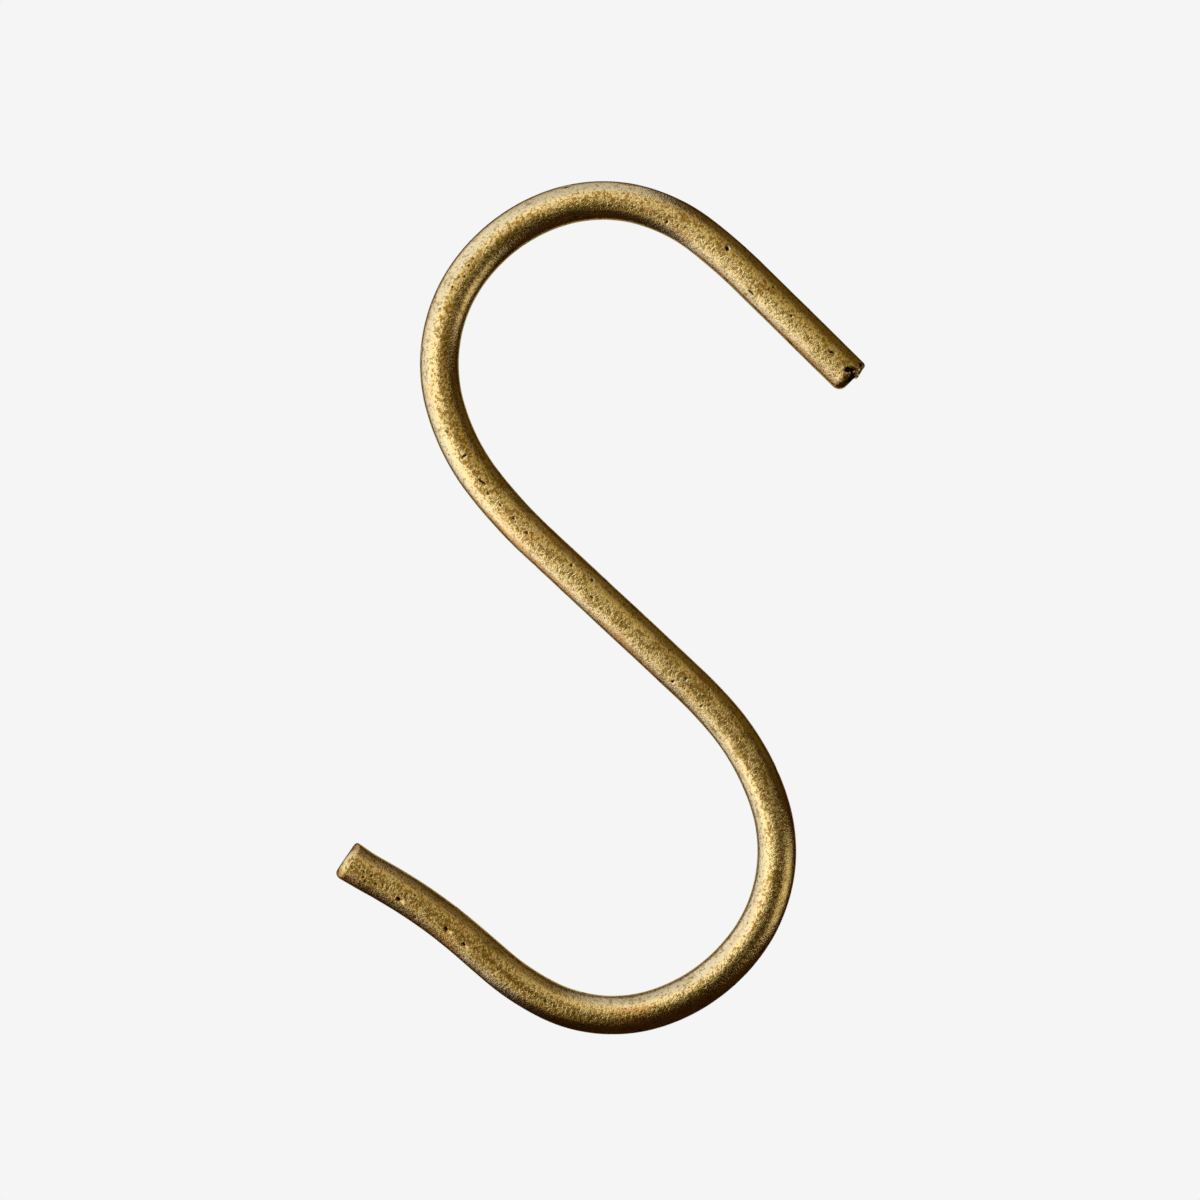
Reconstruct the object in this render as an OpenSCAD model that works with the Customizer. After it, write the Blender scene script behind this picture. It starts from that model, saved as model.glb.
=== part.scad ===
// S hook bent by hand from one length of round brass rod.
// The rod lies in the XZ plane and hangs as it does in use: +Z up, +X towards the upper tip.
// The origin is the rail seat, on the inner side of the upper bend, at its crown.
// From the crown the rod runs both ways as a chain of bends and straights, each starting
// where the last one ends and in the same direction. Radii are to the middle of the rod.

/* [Rod] */
// Diameter of the rod in its straights
rod_d = 4; // [3:0.1:6]
// How much thinner the rod is drawn from one bend to the next
bend_draw = 0.02; // [0.01:0.01:0.05]

/* [Upper bend] */
// Radius of the crown, which sits on the rail
crown_r = 15; // [12:0.5:24]
// Turn of the crown on the upper tip's side
crown_front_turn = 14.5; // [5:0.5:30]
// Turn of the crown on the back's side
crown_back_turn = 17.5; // [5:0.5:30]
// Radius of the shoulder in front of the crown
front_shoulder_r = 17.5; // [12:0.5:30]
// Turn of the front shoulder
front_shoulder_turn = 23; // [10:0.5:35]
// Radius where the front shoulder eases into the upper leg
front_ease_r = 53.5; // [20:0.5:90]
// Turn of that easing
front_ease_turn = 7; // [2:0.5:15]
// Radius of the shoulder behind the crown
back_shoulder_r = 18; // [12:0.5:30]
// Turn of the back shoulder
back_shoulder_turn = 39.5; // [20:0.5:60]
// Radius of the tighter flank below the back shoulder
back_flank_r = 16; // [12:0.5:30]
// Turn of the back flank
back_flank_turn = 48.5; // [30:0.5:60]
// Radius where the back flank eases towards the shank
back_ease_r = 23; // [15:0.5:50]
// Turn of that easing
back_ease_turn = 22; // [10:0.5:30]
// Radius of the last gentle bend above the shank
back_sweep_r = 48.5; // [25:0.5:90]
// Turn of that gentle bend
back_sweep_turn = 9.5; // [3:0.5:15]

/* [Shank] */
// Length of the straight shank between the two bends
shank_l = 21; // [5:0.5:60]

/* [Lower bend] */
// Radius of the first gentle bend below the shank
low_sweep_r = 48; // [25:0.5:90]
// Turn of that gentle bend
low_sweep_turn = 6.5; // [3:0.5:15]
// Radius where the rod eases into the lower bend
low_ease_r = 25; // [15:0.5:50]
// Turn of that easing
low_ease_turn = 23.5; // [10:0.5:30]
// Radius of the lower bend's outer flank
low_flank_r = 16; // [12:0.5:30]
// Turn of the lower flank
low_flank_turn = 52.5; // [30:0.5:65]
// Radius of the flatter stretch between the flank and the bottom
low_shoulder_r = 18.5; // [12:0.5:30]
// Turn of that flatter stretch
low_shoulder_turn = 34.5; // [15:0.5:50]
// Radius of the bottom, where the load hangs
bottom_r = 15; // [12:0.5:24]
// Turn of the bottom
bottom_turn = 47; // [25:0.5:60]
// Radius where the bottom eases into the lower leg
low_out_r = 25.5; // [15:0.5:50]
// Turn of that easing
low_out_turn = 14; // [5:0.5:20]

/* [Legs] */
// Length of the straight upper leg, to its cut end
upper_leg_l = 15; // [6:0.5:30]
// Length of the straight stretch before the lower tip's flare
lower_leg_l = 3.5; // [1:0.5:15]
// Radius of the flare that turns the lower tip outwards
flare_r = 55; // [25:0.5:90]
// Turn of the flare
flare_turn = 12; // [3:0.5:25]
// Length of the lower tip beyond the flare, to its cut end
lower_tip_l = 4; // [2:0.5:15]

/* [Cut ends] */
// Rounding round the upper end's edge
upper_end_round = 0.8; // [0.2:0.1:1.2]
// Rounding round the lower end's edge
lower_end_round = 0.6; // [0.2:0.1:1.2]
// How far the torn lip stands out past the upper end
lip_out = 0.3; // [0.1:0.05:0.6]
// Rounding round the torn lip's edge
lip_round = 0.4; // [0.1:0.1:0.8]
// Height of the lip's step above the rod's middle
lip_step = 0.4; // [-0.5:0.1:1]
// Diameter of the torn hollow beside the lip
hollow_d = 1.1; // [0.5:0.1:1.6]
// Distance from the upper end back to the hollow's middle
hollow_back = 0.4; // [0:0.1:1]
// Height of the hollow's middle above the rod's middle
hollow_up = 0.3; // [-0.5:0.1:1]
// Diameter of the smaller pit behind the hollow
pit_d = 0.5; // [0.3:0.1:0.8]
// Distance from the upper end back to the small pit's middle
pit_back = 1.1; // [0.8:0.1:2]

/* [Hidden] */
rod_r = rod_d / 2;
fine = 64;
// Turned edges are drawn as this many short tapers
round_steps = 6;
// A thinner stretch starts and ends this far inside its thicker neighbour
lap = 0.2;

// Bends are [radius, turn, side], with side 1 to curl down and -1 to curl up; straights are [length]
front_run = [
  [front_shoulder_r, front_shoulder_turn, 1],
  [front_ease_r, front_ease_turn, 1],
];
back_run = [
  [back_shoulder_r, back_shoulder_turn, -1],
  [back_flank_r, back_flank_turn, -1],
  [back_ease_r, back_ease_turn, -1],
  [back_sweep_r, back_sweep_turn, -1],
  [shank_l],
  [low_sweep_r, low_sweep_turn, 1],
  [low_ease_r, low_ease_turn, 1],
  [low_flank_r, low_flank_turn, 1],
  [low_shoulder_r, low_shoulder_turn, 1],
  [bottom_r, bottom_turn, 1],
  [low_out_r, low_out_turn, 1],
  [lower_leg_l],
  [flare_r, flare_turn, -1],
];

function is_bend(stretch) = len(stretch) == 3;

// How many times a stretch is drawn thinner: never for straights and legs, once for the crown
// and every second bend, twice for the bends between
function draws(run, i) =
  i < 0 ? 1 :
  i >= len(run) ? 0 :
  is_bend(run[i]) ? 2 - i % 2 : 0;

function drawn_r(times) = rod_r - times * bend_draw / 2;

function lap_into(run, i, neighbour) = draws(run, neighbour) < draws(run, i) ? lap : 0;

function arc_angle(length, radius) = length / radius * 180 / PI;

// Outline of half a turned bar with a rounded far edge
function bar_outline(length, edge) = concat(
  [[0, 0], [rod_r, 0]],
  [for (k = [0 : round_steps])
    let (a = 90 * k / round_steps)
      [rod_r - edge + edge * cos(a), length - edge + edge * sin(a)]],
  [[0, length]]
);

// Moves to the far end of a bend, facing along the rod
module past_bend(radius, turn, side) {
  translate([0, 0, -side * radius])
    rotate([0, side * turn, 0])
      translate([0, 0, side * radius])
        children();
}

// A bend from the origin along +X, lengthened by a lap at either end
module bend(radius, turn, side, r, lap_start, lap_end) {
  before = arc_angle(lap_start, radius);
  beyond = arc_angle(lap_end, radius);
  first = side > 0 ? 90 - turn - beyond : 270 - before;
  translate([0, 0, -side * radius])
    rotate([90, 0, 0])
      rotate_extrude(angle = before + turn + beyond, start = first, $fn = fine * 2)
        translate([radius, 0])
          circle(r = r, $fn = fine);
}

// A straight from the origin along +X
module straight(length) {
  rotate([0, 90, 0])
    cylinder(h = length, r = rod_r, $fn = fine);
}

// A straight with a cut end whose edge is rounded over
module cut_straight(length, edge) {
  rotate([0, 90, 0])
    rotate_extrude($fn = fine)
      polygon(bar_outline(length, edge));
}

// Lays a run of stretches one after another from the origin, and what follows at its far end
module lay(run, i = 0) {
  if (i == len(run)) {
    children();
  } else if (is_bend(run[i])) {
    radius = run[i][0];
    turn = run[i][1];
    side = run[i][2];
    bend(radius, turn, side, drawn_r(draws(run, i)), lap_into(run, i, i - 1), lap_into(run, i, i + 1));
    past_bend(radius, turn, side) lay(run, i + 1) children();
  } else {
    length = run[i][0];
    straight(length);
    translate([length, 0, 0]) lay(run, i + 1) children();
  }
}

// The upper leg, sheared off so that a lip stands out above a torn hollow
module upper_leg() {
  lip_l = upper_leg_l + lip_out;
  difference() {
    union() {
      cut_straight(upper_leg_l, upper_end_round);
      intersection() {
        cut_straight(lip_l, lip_round);
        translate([upper_leg_l - upper_end_round, -rod_d, lip_step]) cube([rod_d, rod_d * 2, rod_d]);
      }
    }
    translate([upper_leg_l - hollow_back, -rod_r, hollow_up]) sphere(d = hollow_d, $fn = fine);
    translate([upper_leg_l - pit_back, -rod_r, hollow_up - pit_d / 2]) sphere(d = pit_d, $fn = fine);
  }
}

module crown() {
  past_bend(crown_r, -crown_back_turn, 1)
    bend(crown_r, crown_back_turn + crown_front_turn, 1, drawn_r(1), 0, 0);
}

module s_hook() {
  color("#8a6d3b")
    translate([0, 0, rod_r]) {
      crown();
      past_bend(crown_r, crown_front_turn, 1)
        lay(front_run) upper_leg();
      past_bend(crown_r, -crown_back_turn, 1)
        rotate([0, 180, 0])
          lay(back_run) cut_straight(lower_tip_l, lower_end_round);
    }
}

s_hook();
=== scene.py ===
"""The looks of an S hook bent from one length of round brass rod, with its studio."""
import math
import random
from collections import namedtuple

import bmesh
import bpy
import numpy as np
from bpy.props import FloatProperty, FloatVectorProperty, IntProperty, PointerProperty
from bpy.types import Operator, Panel, PropertyGroup
from mathutils import Matrix, Vector, noise


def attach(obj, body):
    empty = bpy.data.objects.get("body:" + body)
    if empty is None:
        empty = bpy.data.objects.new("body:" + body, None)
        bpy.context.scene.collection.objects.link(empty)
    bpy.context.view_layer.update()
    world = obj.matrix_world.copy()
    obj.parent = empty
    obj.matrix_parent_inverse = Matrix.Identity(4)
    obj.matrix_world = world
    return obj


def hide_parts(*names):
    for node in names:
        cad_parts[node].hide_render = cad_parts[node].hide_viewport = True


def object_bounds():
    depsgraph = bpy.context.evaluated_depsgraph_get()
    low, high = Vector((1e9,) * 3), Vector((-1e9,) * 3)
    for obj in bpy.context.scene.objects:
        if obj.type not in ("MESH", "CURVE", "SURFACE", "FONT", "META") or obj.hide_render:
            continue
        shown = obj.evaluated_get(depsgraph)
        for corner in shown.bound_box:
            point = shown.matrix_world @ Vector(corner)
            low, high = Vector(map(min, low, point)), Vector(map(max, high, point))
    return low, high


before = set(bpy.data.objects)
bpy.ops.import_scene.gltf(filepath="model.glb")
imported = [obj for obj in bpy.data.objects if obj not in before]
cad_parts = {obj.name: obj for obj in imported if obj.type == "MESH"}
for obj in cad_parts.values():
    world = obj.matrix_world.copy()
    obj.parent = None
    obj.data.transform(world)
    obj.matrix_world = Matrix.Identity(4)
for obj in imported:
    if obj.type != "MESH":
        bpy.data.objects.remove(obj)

bl_info = {
    "name": "S Hook",
    "version": (1, 0, 0),
    "blender": (4, 5, 0),
    "location": "3D View > Sidebar > S Hook",
    "description": "Bends a brass rod into an S hook, ages it and sets it in a plain studio",
    "category": "Add Mesh",
}

CAD_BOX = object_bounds()
NODE = "s_hook"
MM = 0.001
FRONT = Vector((0, -1, 0))
WHITE = (1, 1, 1)

# Where the crown lies in the photograph, and how wide its rod is there
PHOTO_SIDE_PX = 1200
CROWN_X_PX = 602.9
CROWN_Y_PX = 200.5
ROD_WIDTH_PX = 39


def size(name, millimetres, description):
    """A length, shown in the scene's own unit."""
    return FloatProperty(
        name=name, description=description, default=millimetres * MM, unit="LENGTH", precision=5
    )


def turn(name, degrees, description):
    """An angle, shown in degrees."""
    return FloatProperty(
        name=name, description=description, default=math.radians(degrees), subtype="ANGLE"
    )


def share(name, amount, description):
    """A part of a whole, from 0 to 1."""
    return FloatProperty(
        name=name, description=description, default=amount, min=0, max=1, subtype="FACTOR"
    )


def colour(name, shade, description):
    """A colour in linear light."""
    return FloatVectorProperty(
        name=name, description=description, default=shade, min=0, max=1, subtype="COLOR"
    )


def glow(name, strength, description):
    """How bright a face is, where 1 is white."""
    return FloatProperty(name=name, description=description, default=strength, min=0)


class RodCourse(PropertyGroup):
    """The bends and straights of the rod, to the middle of the rod, from the crown outwards."""

    rod_diameter: size("Rod", 4, "Diameter of the rod")
    crown_radius: size("Crown radius", 15, "Radius of the crown, which sits on the rail")
    crown_front_turn: turn("Crown front", 14.5, "Turn of the crown towards the upper tip")
    crown_back_turn: turn("Crown back", 17.5, "Turn of the crown towards the back")
    front_shoulder_radius: size("Front shoulder", 17.5, "Radius in front of the crown")
    front_shoulder_turn: turn("Front shoulder turn", 23, "Turn in front of the crown")
    front_ease_radius: size("Front ease", 53.5, "Radius where the shoulder eases into the upper leg")
    front_ease_turn: turn("Front ease turn", 7, "Turn of that easing")
    upper_leg: size("Upper leg", 15, "Straight upper leg, to its cut end")
    back_shoulder_radius: size("Back shoulder", 18, "Radius behind the crown")
    back_shoulder_turn: turn("Back shoulder turn", 39.5, "Turn behind the crown")
    back_flank_radius: size("Back flank", 16, "Radius of the tighter flank below the back shoulder")
    back_flank_turn: turn("Back flank turn", 48.5, "Turn of the back flank")
    back_ease_radius: size("Back ease", 23, "Radius where the flank eases towards the shank")
    back_ease_turn: turn("Back ease turn", 22, "Turn of that easing")
    back_sweep_radius: size("Back sweep", 48.5, "Radius of the last gentle bend above the shank")
    back_sweep_turn: turn("Back sweep turn", 9.5, "Turn of that gentle bend")
    shank: size("Shank", 21, "Straight shank between the two bends")
    low_sweep_radius: size("Low sweep", 48, "Radius of the first gentle bend below the shank")
    low_sweep_turn: turn("Low sweep turn", 6.5, "Turn of that gentle bend")
    low_ease_radius: size("Low ease", 25, "Radius where the rod eases into the lower bend")
    low_ease_turn: turn("Low ease turn", 23.5, "Turn of that easing")
    low_flank_radius: size("Low flank", 16, "Radius of the lower bend's outer flank")
    low_flank_turn: turn("Low flank turn", 52.5, "Turn of the lower flank")
    low_shoulder_radius: size("Low shoulder", 18.5, "Radius between the flank and the bottom")
    low_shoulder_turn: turn("Low shoulder turn", 34.5, "Turn of that flatter stretch")
    bottom_radius: size("Bottom", 15, "Radius of the bottom, where the load hangs")
    bottom_turn: turn("Bottom turn", 47, "Turn of the bottom")
    low_out_radius: size("Low way out", 25.5, "Radius where the bottom eases into the lower leg")
    low_out_turn: turn("Low way out turn", 14, "Turn of that easing")
    lower_leg: size("Lower leg", 3.5, "Straight stretch before the lower tip's flare")
    flare_radius: size("Flare", 55, "Radius of the flare that turns the lower tip outwards")
    flare_turn: turn("Flare turn", 12, "Turn of the flare")
    lower_tip: size("Lower tip", 4, "Lower tip beyond the flare, to its cut end")


class CutEnds(PropertyGroup):
    """The two ends, as the cutter left them and wear rounded them."""

    upper_inner_round: size("Upper end, inner side", 0.95, "Rounding on the side towards the shank")
    upper_outer_round: size("Upper end, outer side", 0.4, "Rounding on the outer side")
    # How far back from the upper end the painted shade on its face reaches
    painted_shade_reach: size("Soot", 0.95, "How far back from the upper end the shear left dirt")
    lower_inner_round: size("Lower end, inner side", 0.35, "Rounding on the side towards the shank")
    lower_outer_round: size("Lower end, outer side", 0.75, "Rounding on the outer side")
    lower_face_round: size("Lower end, faces", 0.9, "Rounding on the hook's two flat faces")
    lower_setback: size("Lower set-back", -0.03, "How far the lower end's middle lies back")
    lower_slant: turn("Lower slant", 5, "How far the lower end is cut from square")
    burr: size("Burr", 0.2, "How far the cut spread the lower end towards the shank")
    burr_length: size("Burr length", 3, "How far back from the lower end that spread reaches")
    lip_step: size("Lip step", 0.3, "Where the torn lip steps down, from the rod's middle")
    lip_out: size("Lip", 0.26, "How far the torn lip stands out at its step")
    lip_tilt: turn("Lip tilt", 14, "How far the lip's face leans back from its step")
    tear_roughness: size("Ragged edge", 0.09, "How far the torn hollow's edge wanders")


class RodSkin(PropertyGroup):
    """The unevenness of a rod bent by hand, and how finely it is drawn."""

    sides: IntProperty(name="Sides", description="Faces round the rod", default=96, min=16)
    crowding: share("Crowding", 0.4, "How much closer together the faces lie in front")
    ring_step: size("Ring step", 0.26, "Distance between the rings of faces along the rod")
    fine_step: size("Fine step", 0.095, "The same beside a pit in front")
    allowance: size("Allowance", 0.012, "How much thinner the rod is, to leave room for its waves")
    wave_height: size("Waves", 0.018, "Height of the long waves that the bending left")
    wave_length: size("Wave length", 5, "Length of those waves")
    knock_height: size("Knocks", 0.008, "Height of the small knocks and flats")
    knock_length: size("Knock length", 1.5, "Length of those knocks")
    grain_height: size("Coarse grain", 0.003, "Height of the coarsest grain of the skin")
    grain_length: size("Coarse grain length", 0.55, "Length of that grain")
    spare_pits: IntProperty(name="Pits", description="Pits on the sides and the back", default=90)


class AgedBrass(PropertyGroup):
    """The colours, the strengths and the grain of the aged brass."""

    brass: colour("Brass", (0.6, 0.5, 0.315), "Brass, dulled by handling")
    rubbed: colour("Rubbed brass", (0.55, 0.5, 0.36), "Brass where the shear bared it")
    ochre: colour("Ochre", (0.58, 0.475, 0.245), "Brass of the two flat faces, less rubbed")
    umber: colour("Umber", (0.22, 0.125, 0.012), "Brown of the old patina")
    olive: colour("Olive", (0.2, 0.16, 0.04), "Green cast along the sides")
    copper: colour("Copper", (0.5, 0.24, 0.06), "Reddish streaks where zinc has gone")
    peat: colour("Peat", (0.055, 0.03, 0.003), "Dark brown of the specks")
    edge_tint: colour("Edge tint", (0.8, 0.6, 0.26), "Tint of the brass seen along its skin")
    # Near-black for the dirt in the pits and the torn hollow, and for the painted shade on the upper
    # end's face
    soot_and_shade: colour("Soot", (0.008, 0.005, 0.003), "Dirt in the pits and the torn hollow")
    ochre_strength: share("Ochre strength", 0.8, "How much of the faces' colour is ochre")
    old_strength: share("Patina strength", 0.7, "How much of the old patina's colour is umber")
    olive_strength: share("Olive strength", 0.45, "How strong the green cast is")
    copper_strength: share("Copper strength", 0.65, "How strong the reddish streaks are")
    spot_strength: share("Spot strength", 0.68, "How much of a spot's colour is umber")
    speck_strength: share("Speck strength", 0.75, "How much of a speck's colour is peat")
    # How dark the painted shade on the upper end's face is
    painted_shade_strength: share("Soot strength", 0.85, "How much of the upper end's face is soot")
    rubbed_strength: share("Rubbed strength", 0.8, "How bare the lip's rim is")
    grain_size: size("Grain", 0.3, "Size of the patina's grains")
    grain_depth: size("Grain depth", 0.062, "Height of the grains on the two flat faces")
    side_grain: share("Side grain", 0.5, "How much of that height the rubbed sides keep")
    fine_depth: size("Fine depth", 0.02, "Height of the finest grain")
    gloss_roughness: share("Roughness", 0.24, "Roughness of the metal")
    patina_roughness: share("Patina roughness", 0.1, "How much rougher the patina is")
    dirt_roughness: share("Dirt roughness", 0.2, "How much rougher dirt is")


class Studio(PropertyGroup):
    """A pale room with a large soft light at the left, and small lights inside a dark card."""

    pale: share("Pale ground", 0.913, "Tone of the floor and the ground, in linear light")
    room_light: share("Room light", 0.55, "How strongly the pale room lights plain surfaces")
    camera_distance: size("Camera distance", 600, "Distance from the lens to the hook")
    key_away: turn("Key light off axis", 75, "Angle between the light and the camera")
    key_up: turn("Key light height", 0, "How far the light stands above the left")
    key_distance: size("Key light distance", 500, "Distance from the hook to the light")
    key_width: size("Key light width", 1700, "Width of the light")
    key_height: size("Key light's own height", 1700, "Height of the light's face")
    key_glow: glow("Key light glow", 0.51, "Brightness of the light")
    front_away: turn("Front light off axis", 17, "Angle between the front light and the camera")
    front_up: turn("Front light height", 64, "How far the front light stands above the right")
    front_width: size("Front light width", 300, "Width of the front light")
    front_height: size("Front light's own height", 320, "Height of the front light's face")
    front_glow: glow("Front light glow", 0.5, "Brightness of the front light")
    fill_away: turn("Fill off axis", 46, "Angle between the weak light and the camera")
    fill_up: turn("Fill height", 58, "How far the weak light stands above the right")
    fill_width: size("Fill width", 340, "Width of the weak light")
    fill_height: size("Fill's own height", 340, "Height of the weak light's face")
    fill_glow: glow("Fill glow", 0.46, "Brightness of the weak light")
    low_away: turn("Low light off axis", 44, "Angle between the low light and the camera")
    low_down: turn("Low light depth", 140, "How far the low light stands below the right")
    low_width: size("Low light width", 470, "Width of the low light")
    low_height: size("Low light's own height", 470, "Height of the low light's face")
    low_glow: glow("Low light glow", 0.63, "Brightness of the low light")
    rim_away: turn("Rim light off axis", 100, "Angle between the rim light and the camera")
    rim_up: turn("Rim light height", 42, "How far the rim light stands above the right")
    rim_width: size("Rim light width", 420, "Width of the rim light")
    rim_height: size("Rim light's own height", 420, "Height of the rim light's face")
    rim_glow: glow("Rim light glow", 0.13, "Brightness of the rim light")
    glint_away: turn("Glint off axis", 76, "Angle between the small light and the camera")
    glint_down: turn("Glint depth", 20, "How far the small light stands below the right")
    glint_width: size("Glint width", 240, "Width of the small light")
    glint_height: size("Glint's own height", 110, "Height of the small light's face")
    glint_glow: glow("Glint glow", 1.2, "Brightness of the small light")
    sand: colour("Sand", (1.0, 0.85, 0.47), "Tint of the front light and the small light")
    honey: colour("Honey", (1.0, 0.78, 0.27), "Tint of the weak light and the low light")
    amber: colour("Amber", (1.0, 0.7, 0.12), "Tint of the rim light")
    card_radius: size("Card radius", 280, "Radius of the dark card round the hook")
    card_up: turn("Card opening", 28, "How far the card's opening is turned up from the left")
    card_edge: turn("Card edge", 78, "How far from the left the card begins")
    card_behind: turn("Card behind", 56, "How far the card comes round from behind")
    card_gap: turn("Card gap", 26, "Half the width of the gap in the card straight behind the hook")
    card_front: turn("Card in front", 9, "How far the card reaches round the camera")
    card: colour("Card", (0.075, 0.03, 0.001), "Colour of the dark card")
    floor_drop: size("Floor", 900, "How far the floor lies below the hook")
    floor_radius: size("Floor radius", 3000, "Radius of the floor")
    floor_glow: glow("Floor glow", 1.11, "How far the floor's glow makes up for its own shade")
    floor_glow_share: share("Glow share", 0.8, "How much of the floor's look is that glow")


# A pit in the skin, in millimetres and degrees: its station from the lower end, its place round
# the rod from the lower bend's inner side over the front, and its length, width, lean and depth
Pit = namedtuple("Pit", "along around length width lean depth")
FRONT_PITS = (
    Pit(2.4, 90, 0.25, 0.2, 40, 0.09),
    Pit(2.6, 105, 0.25, 0.2, 0, 0.08),
    Pit(3.3, 90, 0.3, 0.2, 130, 0.1),
    Pit(3.0, 115, 0.3, 0.22, 60, 0.1),
    Pit(4.1, 105, 0.3, 0.22, 20, 0.1),
    Pit(6.9, 111, 0.5, 0.4, 30, 0.2),
    Pit(8.1, 73, 0.25, 0.2, 10, 0.08),
    Pit(9.4, 132, 0.3, 0.2, 0, 0.09),
    Pit(12.7, 101, 0.5, 0.36, 40, 0.18),
    Pit(15.1, 103, 0.45, 0.36, 20, 0.18),
    Pit(25.3, 94, 0.25, 0.22, 10, 0.1),
    Pit(42.3, 93, 0.28, 0.2, 30, 0.1),
    Pit(76.0, 68, 0.45, 0.18, 95, 0.1),
    Pit(76.7, 121, 0.25, 0.2, 0, 0.09),
    Pit(79.1, 92, 0.55, 0.2, 95, 0.11),
    Pit(79.9, 59, 0.42, 0.18, 95, 0.1),
    Pit(91.8, 80, 0.28, 0.22, 0, 0.1),
    Pit(93.0, 119, 0.36, 0.24, 30, 0.12),
    Pit(95.6, 109, 0.34, 0.24, 20, 0.12),
    Pit(101.2, 87, 0.34, 0.24, 0, 0.12),
    Pit(103.2, 90, 0.34, 0.26, 40, 0.13),
    Pit(105.1, 87, 0.28, 0.22, 0, 0.1),
    Pit(106.8, 82, 0.25, 0.2, 0, 0.1),
    Pit(108.1, 89, 1.0, 0.24, 163, 0.13),
    Pit(111.3, 86, 0.65, 0.2, 80, 0.12),
    Pit(114.3, 70, 0.5, 0.16, 150, 0.09),
    Pit(126.7, 64, 0.22, 0.2, 0, 0.08),
    Pit(129.1, 73, 0.26, 0.22, 0, 0.1),
    Pit(130.3, 74, 0.24, 0.2, 0, 0.09),
    Pit(130.6, 90, 0.2, 0.2, 0, 0.07),
    Pit(131.8, 80, 0.26, 0.22, 0, 0.1),
    Pit(132.6, 77, 0.24, 0.2, 0, 0.1),
    Pit(154.6, 113, 0.45, 0.22, 90, 0.1),
    Pit(161.3, 74, 0.5, 0.42, 20, 0.2),
    Pit(166.2, 123, 0.9, 0.16, 0, 0.09),
    Pit(167.2, 77, 0.4, 0.14, 90, 0.08),
    Pit(167.4, 61, 0.4, 0.14, 90, 0.08),
    Pit(170.8, 88, 0.3, 0.2, 60, 0.1),
    Pit(176.4, 79, 0.75, 0.13, 145, 0.3),
)
# Chips beyond the deepest pits, whose slopes face the light
CHIPS = (
    Pit(7.22, 111, 0.5, 0.46, 0, 0.1),
    Pit(13.0, 100, 0.46, 0.42, 0, 0.09),
    Pit(15.4, 103, 0.44, 0.42, 0, 0.09),
)
# Tears beside the lip, with stations counted from the upper end. The one without depth has no hollow and
# only darkens the skin
TEARS = (
    Pit(-1.08, 83, 0.62, 0.46, 135, 0.35),
    Pit(-0.62, 66, 0.9, 0.32, 135, 0.4),
    Pit(-0.75, 76, 0.6, 0.34, 45, 0.3),
    Pit(-0.25, 90, 0.6, 1.2, 0, 0.0),
    Pit(-0.38, 37, 0.6, 0.6, 0, 0.15),
)
# A stain in the skin, placed as a pit is
Stain = namedtuple("Stain", "along around length width lean strength")
BROWNED = (
    Stain(7, 138, 20, 2.8, 0, 0.6),
    Stain(9, 92, 26, 3.4, 0, 0.45),
    Stain(20.5, 88, 11, 0.5, 0, 0.9),
    Stain(27, 135, 9, 2.2, 0, 0.6),
    Stain(113, 117, 14, 2.2, 0, 0.5),
    Stain(122, 100, 9, 1.1, 0, 0.8),
    Stain(130, 86, 10, 1.1, 0, 0.8),
    Stain(138, 90, 8, 1.1, 0, 0.6),
    Stain(146, 88, 8, 1.0, 0, 0.4),
    Stain(167, 48, 26, 2.6, 0, 0.3),
)
REDDENED = (
    Stain(170, 152, 24, 0.8, 0, 0.9),
    Stain(92, 30, 44, 1.0, 0, 0.9),
    Stain(98, 150, 26, 0.8, 0, 0.4),
    Stain(9, 148, 22, 1.5, 0, 0.7),
    Stain(8, 165, 14, 0.7, 0, 0.7),
    Stain(0.4, 20, 1.6, 2.2, 0, 0.8),
)

# The pits strewn over the sides and the back, from least to most, in millimetres and degrees.
# Their width is a share of their length, and their depth a share of their width
SPARE_SEED = 7
SPARE_CLEARANCE = 3
SPARE_AROUND = (150, 390)
SPARE_LENGTH = (0.25, 0.6)
SPARE_WIDTH = (0.4, 0.9)
SPARE_LEAN = (0, 180)
SPARE_DEPTH = 0.35

# A pit's wall and its dirt, each from its start to where it is full. The wall is given in shares
# of the pit's reach, and the dirt by how far inside the pit a point lies
PIT_WALL = (0.5, 1.25)
PIT_DIRT = (0.2, 0.6)
TEAR_DIRT = (0, 0.2)

# The rings of either end zone, of its rounded edge and of its face
ZONE = 2 * MM
ZONE_RINGS = 14
ARC_RINGS = 14
FACE_RINGS = 22
# The finest distance at which the rings between the ends are laid, and how far from the middle of
# a pit they begin to open out and are fully open
RING_GRID = 0.02 * MM
RINGS_OPEN = (0.3 * MM, 0.8 * MM)

# How sharply the rounding of a side gives way to that of the faces
SIDE_SHARPNESS = 14
# The lip's side of the upper end, and the side whose face gets painted shade, by the cosine of the place
# round
LIP_SIDE = (0.05, 0.35)
PAINTED_SHADE_SIDE = (-0.95, -0.2)
# How far behind the upper end the lip fades, and where its bare rim begins and ends
LIP_FADE = (0.1 * MM, 0.6 * MM)
RIM_START = (0, 0.1 * MM)
RIM_END = (0.2 * MM, 0.4 * MM)
# How far the lip's step wanders, the length of that wave, and half the width of the step's slope
STEP_WANDER = 0.06 * MM
STEP_WAVE = 0.5 * MM
STEP_SLOPE = 0.1 * MM
# The length of the waves in the torn hollow's edge
TEAR_WAVE = 0.5 * MM
# How much of the burr goes evenly round the lower end
BURR_EVEN = 0.6
# How far the drawing of the rod pulled its streaks out
STREAK_DRAW = 8 * MM
# How far apart two seeds set the noise, along each axis
SEED_STEPS = (17.3, 5.1, 9.7)
TEAR_SEED = 4

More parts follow.
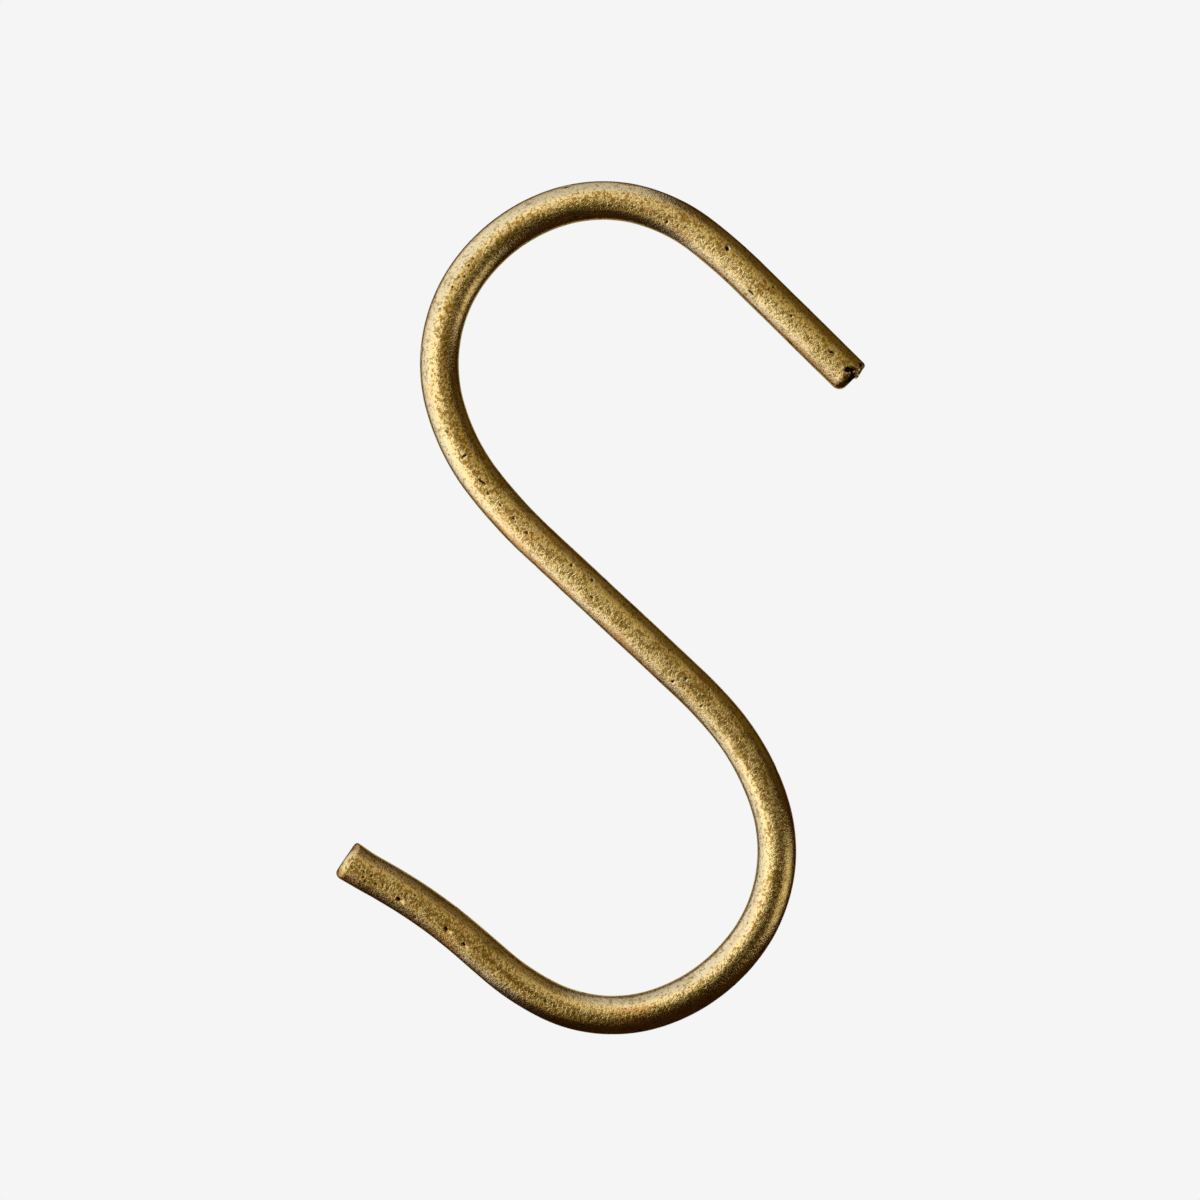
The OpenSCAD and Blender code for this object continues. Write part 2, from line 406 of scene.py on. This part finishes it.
# A pattern of random tones: its spots to a millimetre, and the detail, roughness and swirl of them
Pattern = namedtuple("Pattern", "spots detail roughness swirl", defaults=(0.5, 0))
BLOTCHES = Pattern(0.45, 3, 0.6)
PATCHES = Pattern(0.16, 2)
STREAKS = Pattern(1.1, 3, 0.6)
SPECKLES = Pattern(3.4, 1)
# How many times finer the finest grain is than the patina's
FINER = 3
# A random tone lies as often above this as below it
NOISE_MIDDLE = 0.5

# A tone of the patina: where it starts, where it is full, and how much each pattern shapes it
Tone = namedtuple("Tone", "start full grain blotch patch streak speck", defaults=(0,) * 5)
OLD = Tone(0.47, 0.36, grain=0.55, blotch=0.2, streak=0.25)
SPOTTED = Tone(0.6, 0.5, grain=1, blotch=0.25)
SPECKLED = Tone(0.76, 0.83, speck=1, blotch=0.15)
REDDISH = Tone(0.55, 0.64, patch=0.4, streak=0.6)
GREENISH = Tone(0.47, 0.36, blotch=0.5, streak=0.5)
# Painted shade on the upper end's face, not patina, with its edge made ragged by the blotches
PAINTED_SHADE = Tone(0.1, 0.8, blotch=0.5)
# The flat faces, by how many millimetres towards the front or the back a point lies
FACE = (1.6, 1.97)
# How strongly patina shows on the rubbed sides, and how much more of it on a face and in a stain
SIDE_PATINA = 0.7
FACE_PATINA = 0.3
STAIN_PATINA = 0.3
# How far a face and a stain shift the patterns towards their tones
FACE_SHIFT = -0.04
STAIN_SHIFT = -0.05
STAIN_SPECK_SHIFT = 0.04
RED_SHIFT = 0.2
# How much umber a stain has everywhere, and how much more in its streaks
STAIN_EVEN = 0.3
STAIN_STREAKED = 0.6

# How far the smaller lights stand off, as a share of the card's radius
LAMP_REACH = 0.9
CARD_FINENESS = 5
FLOOR_SIDES = 96


class Wire:
    """One socket of a node tree, on which ordinary arithmetic adds Math nodes."""

    def __init__(self, web, socket):
        self.web = web
        self.socket = socket

    def __add__(self, other):
        return self.web.maths("ADD", self, other)

    __radd__ = __add__

    def __sub__(self, other):
        return self.web.maths("SUBTRACT", self, other)

    def __rsub__(self, other):
        return self.web.maths("SUBTRACT", other, self)

    def __mul__(self, other):
        return self.web.maths("MULTIPLY", self, other)

    __rmul__ = __mul__

    def __abs__(self):
        return self.web.maths("ABSOLUTE", self, 0)


class Web:
    """The nodes of one material or world, from an empty start."""

    def __init__(self, owner):
        owner.use_nodes = True
        self.tree = owner.node_tree
        self.tree.nodes.clear()

    def node(self, kind, settings=None, inputs=None, output=0):
        """Adds a node, sets it, feeds its sockets with values or wires, and returns an output."""
        made = self.tree.nodes.new(kind)
        for name, value in (settings or {}).items():
            setattr(made, name, value)
        for name, value in (inputs or {}).items():
            if isinstance(value, Wire):
                self.tree.links.new(value.socket, made.inputs[name])
            else:
                made.inputs[name].default_value = value
        return Wire(self, made.outputs[output]) if made.outputs else None

    def maths(self, operation, first, second):
        return self.node("ShaderNodeMath", {"operation": operation}, {0: first, 1: second})

    def blend(self, mask, low, high):
        """The colour low where the mask is 0 and high where it is 1."""
        low, high = (
            value if isinstance(value, Wire) else (*value, 1.0) for value in (low, high)
        )
        settings = {"data_type": "RGBA"}
        return self.node("ShaderNodeMix", settings, {"Factor": mask, 6: low, 7: high}, 2)

    def ramp(self, value, start, end):
        """A soft step from 0 at start to 1 at end."""
        settings = {"interpolation_type": "SMOOTHSTEP"}
        inputs = {"Value": value, "From Min": start, "From Max": end}
        return self.node("ShaderNodeMapRange", settings, inputs)

    def scaled(self, vector, by):
        return self.node("ShaderNodeVectorMath", {"operation": "MULTIPLY"}, {0: vector, 1: by})

    def cloud(self, place, pattern):
        """Soft random tones round 0.5."""
        inputs = {
            "Vector": place,
            "Scale": pattern.spots,
            "Detail": pattern.detail,
            "Roughness": pattern.roughness,
            "Distortion": pattern.swirl,
        }
        return self.node("ShaderNodeTexNoise", None, inputs)

    def mark(self, name):
        """A number that the mesh holds at each of its points."""
        return self.node("ShaderNodeAttribute", {"attribute_name": name}, None, "Fac")


def rod_stretches(course):
    """Each stretch's length and curvature, from the lower end to the upper end. Left is positive."""

    def bend(name, side):
        radius = getattr(course, name + "_radius")
        return radius * getattr(course, name + "_turn"), side / radius

    crown_back = (course.crown_radius * course.crown_back_turn, -1 / course.crown_radius)
    crown_front = (course.crown_radius * course.crown_front_turn, -1 / course.crown_radius)
    before = [
        (course.lower_tip, 0),
        bend("flare", -1),
        (course.lower_leg, 0),
        bend("low_out", 1),
        bend("bottom", 1),
        bend("low_shoulder", 1),
        bend("low_flank", 1),
        bend("low_ease", 1),
        bend("low_sweep", 1),
        (course.shank, 0),
        bend("back_sweep", -1),
        bend("back_ease", -1),
        bend("back_flank", -1),
        bend("back_shoulder", -1),
        crown_back,
    ]
    after = [crown_front, bend("front_shoulder", -1), bend("front_ease", -1), (course.upper_leg, 0)]
    return before, after


def step_along(pose, distance, curvature):
    """Where a point that starts at pose, which is x, z and heading, has got to."""
    x, z, heading = pose
    new = heading + curvature * distance
    if curvature == 0:
        return x + distance * np.cos(heading), z + distance * np.sin(heading), new
    return (
        x + (np.sin(new) - np.sin(heading)) / curvature,
        z - (np.cos(new) - np.cos(heading)) / curvature,
        new,
    )


class MiddleLine:
    """The rod's middle line, in the XZ plane, with its crown straight above the rail seat."""

    def __init__(self, course):
        before, after = rod_stretches(course)
        radius = course.rod_diameter / 2
        pose = (0.0, radius, 0.0)
        starts = []
        for length, curvature in reversed(before):
            pose = step_along(pose, -length, curvature)
            starts.insert(0, pose)
        pose = (0.0, radius, 0.0)
        for length, curvature in after:
            starts.append(pose)
            pose = step_along(pose, length, curvature)
        stretches = before + after
        self.starts = starts
        self.curvatures = [curvature for _, curvature in stretches]
        self.stations = np.concatenate([[0], np.cumsum([length for length, _ in stretches])])
        self.length = self.stations[-1]

    def place(self, along, left, front):
        """Points at stations along the rod, offset to the left of its course and to the front."""
        stretch = np.searchsorted(self.stations[1:-1], along, side="right")
        points = np.zeros((*along.shape, 3))
        for i, (start, curvature) in enumerate(zip(self.starts, self.curvatures)):
            chosen = stretch == i
            x, z, heading = step_along(start, along[chosen] - self.stations[i], curvature)
            points[chosen, 0] = x - np.sin(heading) * left[chosen]
            points[chosen, 1] = -front[chosen]
            points[chosen, 2] = z + np.cos(heading) * left[chosen]
        return points


def soft_step(value, start, end):
    """0 up to start and 1 from end on, with a smooth way between."""
    t = np.clip((value - start) / (end - start), 0, 1)
    return t * t * (3 - 2 * t)


def noise_at(points, wavelength, seed):
    """Smooth noise from -1 to 1 at an array of points, with waves about so long."""
    shift = Vector([seed * step for step in SEED_STEPS])
    flat = points.reshape(-1, 3) / wavelength
    values = [noise.noise(Vector(p) + shift) for p in flat]
    return np.array(values).reshape(points.shape[:-1])


def end_rings(radius, rounds):
    """Rings over one cut end: how far each point lies behind the face and in from the skin."""
    lead = np.linspace(0, 1, ZONE_RINGS, endpoint=False)[:, None]
    arc = np.linspace(0, math.pi / 2, ARC_RINGS, endpoint=False)[:, None]
    face = np.linspace(0, 1, FACE_RINGS, endpoint=False)[:, None]
    none = np.zeros_like(rounds)
    behind = [ZONE + (rounds - ZONE) * lead, rounds * (1 - np.sin(arc)), none * face]
    inset = [none * lead, rounds * (1 - np.cos(arc)), rounds + (radius - rounds) * face]
    return np.concatenate(behind), np.concatenate(inset)


def edge_rounds(around, left, right, faces):
    """The rounding at each place round the rod, blended from its left, right and two faces."""
    side = np.cos(around) ** SIDE_SHARPNESS
    return faces * (1 - side) + np.where(np.cos(around) > 0, left, right) * side


def hollow_at(along, around, pit, radius):
    """How far inside a pit or a stain each point lies: 1 at its middle and 0 outside."""
    lean = math.radians(pit.lean)
    ahead = along - pit.along * MM
    beside = (around - math.radians(pit.around) + math.pi) % (2 * math.pi) - math.pi
    beside = beside * radius
    a = ahead * math.cos(lean) + beside * math.sin(lean)
    b = beside * math.cos(lean) - ahead * math.sin(lean)
    reach = np.hypot(a / (pit.length * MM / 2), b / (pit.width * MM / 2))
    return 1 - soft_step(reach, *PIT_WALL)


def sunk_by(pits, along, around, radius, dirty):
    """How deep pits sink each point, and how much dirt they hold there."""
    depth = np.zeros_like(along)
    dirt = np.zeros_like(along)
    for pit in pits:
        inside = hollow_at(along, around, pit, radius)
        depth = np.maximum(depth, inside * pit.depth * MM)
        dirt = np.maximum(dirt, soft_step(inside, *dirty))
    return depth, dirt


def stained_by(stains, along, around, radius):
    """How strongly each point is stained."""
    return np.max([hollow_at(along, around, stain, radius) * stain.strength for stain in stains], axis=0)


def spare_pits(count, length):
    """Pits like those in front, strewn over the sides and the back."""
    chance = random.Random(SPARE_SEED)
    pits = []
    for _ in range(count):
        along = chance.uniform(SPARE_CLEARANCE, length / MM - SPARE_CLEARANCE)
        around = chance.uniform(*SPARE_AROUND)
        long = chance.uniform(*SPARE_LENGTH)
        wide = long * chance.uniform(*SPARE_WIDTH)
        pits.append(Pit(along, around, long, wide, chance.uniform(*SPARE_LEAN), wide * SPARE_DEPTH))
    return pits


def body_stations(length, skin):
    """Stations of the rings between the ends, closer together beside a pit in front."""
    grid = np.arange(ZONE, length - ZONE, RING_GRID)
    pit_stations = np.array([pit.along * MM for pit in FRONT_PITS])
    to_pit = np.abs(grid[:, None] - pit_stations).min(axis=1)
    step = skin.fine_step + (skin.ring_step - skin.fine_step) * soft_step(to_pit, *RINGS_OPEN)
    count = np.cumsum(RING_GRID / step)
    wanted = np.linspace(0, count[-1], round(count[-1]))[1:-1]
    return np.interp(wanted, count, grid)


def rod_rings(length, radius, ends, skin):
    """Each point's station, place round the rod and distance in from the skin, ring by ring."""
    around = np.linspace(0, 2 * math.pi, skin.sides, endpoint=False)[None, :]
    around = around + skin.crowding * np.cos(around)
    low_rounds = edge_rounds(
        around, ends.lower_inner_round, ends.lower_outer_round, ends.lower_face_round
    )
    lip_side = soft_step(np.cos(around), *LIP_SIDE)
    high_rounds = ends.upper_inner_round * (1 - lip_side) + ends.upper_outer_round * lip_side
    low_behind, low_inset = end_rings(radius, low_rounds)
    high_behind, high_inset = end_rings(radius, high_rounds)
    body = np.repeat(body_stations(length, skin)[:, None], skin.sides, axis=1)
    along = np.concatenate([low_behind[::-1], body, length - high_behind])
    inset = np.concatenate([low_inset[::-1], np.zeros_like(body), high_inset])
    return along, np.broadcast_to(around, along.shape), inset


def skin_swell(place, skin):
    """How far waves, knocks and grain lift the skin at each point."""
    waves = (
        (skin.wave_height, skin.wave_length),
        (skin.knock_height, skin.knock_length),
        (skin.grain_height, skin.grain_length),
    )
    return sum(
        height * noise_at(place, length, seed) for seed, (height, length) in enumerate(waves, start=1)
    )


def burred(along, around, left, share_out, ends):
    """Stations and offsets of the points once the lower end is spread and slanted by its cut."""
    spread = (1 - soft_step(along, 0, ends.burr_length)) * (
        BURR_EVEN + (1 - BURR_EVEN) * np.cos(around)
    )
    left = left + ends.burr * spread * share_out
    near_end = 1 - soft_step(along, 0, ZONE)
    along = along + near_end * (ends.lower_setback + np.tan(ends.lower_slant) * left)
    return along, left


def lipped(along, behind_end, left, front, ends):
    """Stations of the points once the upper end has its torn lip, and the mark of the lip's rim."""
    on_end = 1 - soft_step(behind_end, *LIP_FADE)
    step = ends.lip_step + STEP_WANDER * np.sin(front / STEP_WAVE)
    on_lip = soft_step(left, step - STEP_SLOPE, step + STEP_SLOPE)
    lip = np.maximum(ends.lip_out - np.tan(ends.lip_tilt) * (left - ends.lip_step), 0)
    rim = on_lip * soft_step(behind_end, *RIM_START) * (1 - soft_step(behind_end, *RIM_END))
    return along + lip * on_lip * on_end, rim


def rod_points(course, ends, skin):
    """The rod's points in rings from its lower end, their marks, and their places on the drawn rod."""
    line = MiddleLine(course)
    radius = course.rod_diameter / 2
    along, around, inset = rod_rings(line.length, radius, ends, skin)
    share_out = 1 - inset / radius
    behind_end = line.length - along
    off_lip = 1 - soft_step(np.cos(around), *LIP_SIDE)
    # Painted shade on the upper end's face: full at the end, fading over its reach, kept off the lip's
    # side and the inner side
    upper_face = np.clip(1 - behind_end / ends.painted_shade_reach, 0, 1) * (
        off_lip * soft_step(np.cos(around), *PAINTED_SHADE_SIDE)
    )

    smooth = line.place(along, radius * np.cos(around), radius * np.sin(around))
    pits = [*FRONT_PITS, *spare_pits(skin.spare_pits, line.length)]
    tears = [tear._replace(along=tear.along + line.length / MM) for tear in TEARS]
    ragged = ends.tear_roughness * noise_at(smooth, TEAR_WAVE, TEAR_SEED)
    pitted, pit_dirt = sunk_by(pits, along, around, radius, PIT_DIRT)
    chipped, _ = sunk_by(CHIPS, along, around, radius, PIT_DIRT)
    torn, tear_dirt = sunk_by(tears, along + ragged, around + ragged / radius, radius, TEAR_DIRT)
    depth = np.maximum.reduce([pitted, chipped, torn])
    browned = stained_by(BROWNED, along, around, radius)
    reddened = stained_by(REDDENED, along, around, radius)

    reach = (radius - skin.allowance + skin_swell(smooth, skin) - depth) * share_out
    left = reach * np.cos(around)
    front = reach * np.sin(around)
    along, left = burred(along, around, left, share_out, ends)
    along, lip_rim = lipped(along, behind_end, left, front, ends)

    marks = {
        "dirt": np.maximum(pit_dirt, tear_dirt),
        "upper_face": upper_face,
        "lip_rim": lip_rim,
        "browned": browned,
        "reddened": reddened,
    }
    drawn = np.stack([along / STREAK_DRAW, left / MM, front / MM], axis=-1)
    return line.place(along, left, front), marks, drawn


def rod_mesh(name, course, ends, skin):
    """A closed mesh of the rod, with its marks as attributes of its points."""
    points, marks, drawn = rod_points(course, ends, skin)
    rings, sides = points.shape[:2]
    vertices = np.concatenate([points.reshape(-1, 3), points[[0, -1]].mean(axis=1)])
    number = np.arange(rings * sides).reshape(rings, sides)
    beside = np.roll(number, -1, axis=1)
    quads = np.stack([number[:-1], number[1:], beside[1:], beside[:-1]], axis=-1).reshape(-1, 4)
    low_middle = rings * sides
    high_middle = low_middle + 1
    fans = [(low_middle, number[0, i], beside[0, i]) for i in range(sides)]
    fans += [(high_middle, beside[-1, i], number[-1, i]) for i in range(sides)]
    mesh = bpy.data.meshes.new(name)
    mesh.from_pydata(vertices.tolist(), [], quads.tolist() + fans)
    for mark, values in marks.items():
        layer = mesh.attributes.new(mark, "FLOAT", "POINT")
        layer.data.foreach_set("value", np.concatenate([values.ravel(), values[[0, -1], 0]]))
    layer = mesh.attributes.new("drawn", "FLOAT_VECTOR", "POINT")
    middles = drawn[[0, -1]].mean(axis=1)
    layer.data.foreach_set("vector", np.concatenate([drawn.reshape(-1, 3), middles]).ravel())
    mesh.shade_smooth()
    mesh.validate()
    return mesh


def aged_brass(finish):
    """Bare brass, browned and mottled with age, with shade painted on the upper end's face."""
    material = bpy.data.materials.new("aged_brass")
    web = Web(material)
    object_place = web.node("ShaderNodeTexCoord", output="Object")
    place = web.scaled(object_place, (1 / MM, 1 / MM, 1 / MM))
    drawn = web.node("ShaderNodeAttribute", {"attribute_name": "drawn"}, None, "Vector")
    dirt = web.mark("dirt")
    browned = web.mark("browned")

    spots = MM / finish.grain_size
    fine_grain = web.cloud(place, Pattern(spots * FINER, detail=1))
    patterns = {
        "grain": web.cloud(place, Pattern(spots, detail=2, roughness=0.55, swirl=0.5)),
        "blotch": web.cloud(place, BLOTCHES),
        "patch": web.cloud(place, PATCHES),
        "streak": web.cloud(drawn, STREAKS),
        "speck": web.cloud(place, SPECKLES),
    }

    def shown(tone, shift):
        """How strongly a tone shows, with its patterns shifted towards it or away from it."""
        parts = [wire * getattr(tone, name) for name, wire in patterns.items() if getattr(tone, name)]
        return web.ramp(sum(parts) + shift, tone.start, tone.full)

    depth_from_middle = abs(web.node("ShaderNodeSeparateXYZ", None, {"Vector": drawn}, "Z"))
    on_face = web.ramp(depth_from_middle, *FACE)
    worn = on_face * FACE_PATINA + browned * STAIN_PATINA + SIDE_PATINA
    aged = on_face * FACE_SHIFT + browned * STAIN_SHIFT
    old = shown(OLD, aged) * worn
    spotted = shown(SPOTTED, aged) * worn
    speckled = shown(SPECKLED, browned * STAIN_SPECK_SHIFT)
    reddish = shown(REDDISH, web.mark("reddened") * RED_SHIFT)
    greenish = shown(GREENISH, 0)
    # Painted shade on the upper end's face, given a ragged edge
    ragged_painted_shade = (patterns["blotch"] - NOISE_MIDDLE) * PAINTED_SHADE.blotch
    painted_shade = web.ramp(web.mark("upper_face") + ragged_painted_shade, PAINTED_SHADE.start, PAINTED_SHADE.full)
    stain = browned * (STAIN_EVEN + STAIN_STREAKED * patterns["streak"])

    shade = web.blend(on_face * finish.ochre_strength, finish.brass, finish.ochre)
    shade = web.blend(stain, shade, finish.umber)
    shade = web.blend(old * finish.old_strength, shade, finish.umber)
    shade = web.blend(greenish * finish.olive_strength, shade, finish.olive)
    shade = web.blend(reddish * finish.copper_strength, shade, finish.copper)
    shade = web.blend(spotted * finish.spot_strength, shade, finish.umber)
    shade = web.blend(speckled * finish.speck_strength, shade, finish.peat)
    # Painted shade: the upper end's face darkened nearly to black
    shade = web.blend(painted_shade * finish.painted_shade_strength, shade, finish.soot_and_shade)
    shade = web.blend(dirt, shade, finish.soot_and_shade)
    shade = web.blend(web.mark("lip_rim") * finish.rubbed_strength, shade, finish.rubbed)

    roughness = finish.gloss_roughness + finish.patina_roughness * old + finish.dirt_roughness * dirt
    kept = finish.side_grain + (1 - finish.side_grain) * on_face
    grain_height = patterns["grain"] * kept * (finish.grain_depth / MM)
    height = grain_height + fine_grain * (finish.fine_depth / MM)
    bump = web.node("ShaderNodeBump", None, {"Strength": 1, "Distance": MM, "Height": height})
    shader = web.node(
        "ShaderNodeBsdfPrincipled",
        None,
        {
            "Base Color": shade,
            "Metallic": 1,
            "Specular Tint": (*finish.edge_tint, 1),
            "Roughness": roughness,
            "Normal": bump,
        },
    )
    web.node("ShaderNodeOutputMaterial", None, {"Surface": shader})
    return material


class HOOK_OT_bend_rod(Operator):
    """Bends the rod and ages it, in place of the plain solid"""

    bl_idname = "hook.bend_rod"
    bl_label = "Bend the rod"

    def execute(self, context):
        scene = context.scene
        mesh = rod_mesh("bent_rod", scene.hook_course, scene.hook_ends, scene.hook_skin)
        rod = bpy.data.objects.new("bent_rod", mesh)
        context.collection.objects.link(rod)
        mesh.materials.append(aged_brass(scene.hook_brass))
        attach(rod, "root")
        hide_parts(NODE)
        return {"FINISHED"}


def from_camera_axis(away, round_axis):
    """A direction from the hook: so far off the camera's, turned round it from the right."""
    return Vector((
        math.sin(away) * math.cos(round_axis),
        -math.cos(away),
        math.sin(away) * math.sin(round_axis),
    ))


def aim(thing, place, target):
    """Puts a lamp or the camera at a place and points it at a target."""
    thing.location = place
    thing.rotation_mode = "QUATERNION"
    thing.rotation_quaternion = (target - place).to_track_quat("-Z", "Y")


def stage_object(context, name, mesh, material):
    """Adds a mesh that isn't part of the hook."""
    thing = bpy.data.objects.new(name, mesh)
    mesh.materials.append(material)
    context.collection.objects.link(thing)
    return thing


def seen_pale(web):
    """1 where the camera, a reflection or a clear thing sees the surface, and 0 for its light."""
    camera = web.node("ShaderNodeLightPath", output="Is Camera Ray")
    glossy = web.node("ShaderNodeLightPath", output="Is Glossy Ray")
    through = web.node("ShaderNodeLightPath", output="Is Transmission Ray")
    return web.maths("MAXIMUM", camera, web.maths("MAXIMUM", glossy, through))


def pale_world(studio):
    """A room that is pale to look at and lights plain surfaces softly."""
    world = bpy.data.worlds.new("pale_room")
    web = Web(world)
    seen = seen_pale(web)
    level = studio.room_light + (studio.pale - studio.room_light) * seen
    back = web.node("ShaderNodeBackground", None, {"Color": (*WHITE, 1), "Strength": level})
    web.node("ShaderNodeOutputWorld", None, {"Surface": back})
    return world


def pale_floor(studio):
    """Matt floor that looks as pale as the room and still takes a shadow."""
    material = bpy.data.materials.new("pale_floor")
    web = Web(material)
    tone = (studio.pale, studio.pale, studio.pale, 1)
    matt = web.node("ShaderNodeBsdfDiffuse", None, {"Color": tone})
    glowing = web.node("ShaderNodeEmission", None, {"Color": tone, "Strength": studio.floor_glow})
    lit = seen_pale(web) * studio.floor_glow_share
    mixed = web.node("ShaderNodeMixShader", None, {0: lit, 1: matt, 2: glowing})
    web.node("ShaderNodeOutputMaterial", None, {"Surface": mixed})
    return material


def dark_card(studio):
    """Matt dark brown card."""
    material = bpy.data.materials.new("dark_card")
    web = Web(material)
    matt = web.node("ShaderNodeBsdfDiffuse", None, {"Color": (*studio.card, 1)})
    web.node("ShaderNodeOutputMaterial", None, {"Surface": matt})
    return material


def floor_mesh(centre, studio):
    """A round floor below the hook."""
    disc = bmesh.new()
    where = Matrix.Translation(centre - Vector((0, 0, studio.floor_drop)))
    bmesh.ops.create_circle(
        disc, cap_ends=True, segments=FLOOR_SIDES, radius=studio.floor_radius, matrix=where
    )
    mesh = bpy.data.meshes.new("floor")
    disc.to_mesh(mesh)
    disc.free()
    return mesh


def card_mesh(centre, studio):
    """A round shell of card, open towards the large light and straight behind the hook."""
    shell = bmesh.new()
    bmesh.ops.create_icosphere(
        shell,
        subdivisions=CARD_FINENESS,
        radius=studio.card_radius,
        matrix=Matrix.Translation(centre),
    )
    left = from_camera_axis(math.pi / 2, math.pi - studio.card_up)

    def is_open(face):
        way = (face.calc_center_median() - centre).normalized()
        from_front = way.angle(FRONT)
        clear_of_ends = studio.card_front < from_front < math.pi - studio.card_behind
        beside_light = clear_of_ends and way.angle(left) < studio.card_edge
        return beside_light or from_front > math.pi - studio.card_gap

    gone = [face for face in shell.faces if is_open(face)]
    bmesh.ops.delete(shell, geom=gone, context="FACES")
    mesh = bpy.data.meshes.new("dark_card")
    shell.to_mesh(mesh)
    shell.free()
    return mesh


def add_lamps(context, centre, studio):
    """The large light outside the card, and the smaller ones inside it."""
    near = studio.card_radius * LAMP_REACH
    lamps = (
        ("key", math.pi - studio.key_up, studio.key_distance, WHITE),
        ("front", studio.front_up, near, studio.sand),
        ("fill", studio.fill_up, near, studio.honey),
        ("low", -studio.low_down, near, studio.honey),
        ("rim", studio.rim_up, near, studio.amber),
        ("glint", -studio.glint_down, near, studio.sand),
    )
    for name, round_axis, distance, tint in lamps:
        lamp = bpy.data.lights.new(name, "AREA")
        lamp.shape = "RECTANGLE"
        lamp.size = getattr(studio, name + "_width")
        lamp.size_y = getattr(studio, name + "_height")
        lamp.energy = getattr(studio, name + "_glow") * math.pi * lamp.size * lamp.size_y
        lamp.color = tint
        thing = bpy.data.objects.new(name, lamp)
        context.collection.objects.link(thing)
        thing.visible_camera = False
        way = from_camera_axis(getattr(studio, name + "_away"), round_axis)
        aim(thing, centre + way * distance, centre)


def add_camera(context, course, studio):
    """A camera in front, with the crown where the photograph has it."""
    scale = course.rod_diameter / ROD_WIDTH_PX
    middle = PHOTO_SIDE_PX / 2
    target = Vector((
        (middle - CROWN_X_PX) * scale,
        0,
        course.rod_diameter / 2 - (middle - CROWN_Y_PX) * scale,
    ))
    lens = bpy.data.cameras.new("camera")
    lens.lens = lens.sensor_width * studio.camera_distance / (PHOTO_SIDE_PX * scale)
    camera = bpy.data.objects.new("camera", lens)
    context.collection.objects.link(camera)
    aim(camera, target + FRONT * studio.camera_distance, target)
    context.scene.camera = camera


class HOOK_OT_set_studio(Operator):
    """Sets the floor, the dark card, the lights and the camera"""

    bl_idname = "hook.set_studio"
    bl_label = "Set the studio"

    def execute(self, context):
        scene = context.scene
        studio = scene.hook_studio
        centre = (CAD_BOX[0] + CAD_BOX[1]) / 2
        scene.world = pale_world(studio)
        stage_object(context, "floor", floor_mesh(centre, studio), pale_floor(studio))
        card = stage_object(context, "dark_card", card_mesh(centre, studio), dark_card(studio))
        card.visible_camera = False
        add_lamps(context, centre, studio)
        add_camera(context, scene.hook_course, studio)
        scene.view_settings.view_transform = "Standard"
        return {"FINISHED"}


class HOOK_PT_sidebar(Panel):
    """Lists the steps and the sizes"""

    bl_idname = "HOOK_PT_sidebar"
    bl_label = "S Hook"
    bl_space_type = "VIEW_3D"
    bl_region_type = "UI"
    bl_category = "S Hook"

    def draw(self, context):
        for operator in OPERATORS:
            self.layout.operator(operator.bl_idname)
        for name, (group, heading) in GROUPS.items():
            box = self.layout.box()
            box.label(text=heading)
            for entry in group.__annotations__:
                box.prop(getattr(context.scene, name), entry)


OPERATORS = (HOOK_OT_bend_rod, HOOK_OT_set_studio)
GROUPS = {
    "hook_course": (RodCourse, "Bends and straights"),
    "hook_ends": (CutEnds, "Cut ends"),
    "hook_skin": (RodSkin, "Skin"),
    "hook_brass": (AgedBrass, "Aged brass"),
    "hook_studio": (Studio, "Studio"),
}


def register():
    for name, (group, heading) in GROUPS.items():
        bpy.utils.register_class(group)
        setattr(bpy.types.Scene, name, PointerProperty(type=group, name=heading))
    for kind in (*OPERATORS, HOOK_PT_sidebar):
        bpy.utils.register_class(kind)


def unregister():
    for kind in (HOOK_PT_sidebar, *OPERATORS):
        bpy.utils.unregister_class(kind)
    for name, (group, _) in GROUPS.items():
        delattr(bpy.types.Scene, name)
        bpy.utils.unregister_class(group)


def main():
    register()
    bpy.ops.hook.bend_rod()
    bpy.ops.hook.set_studio()


if __name__ == "__main__":
    main()
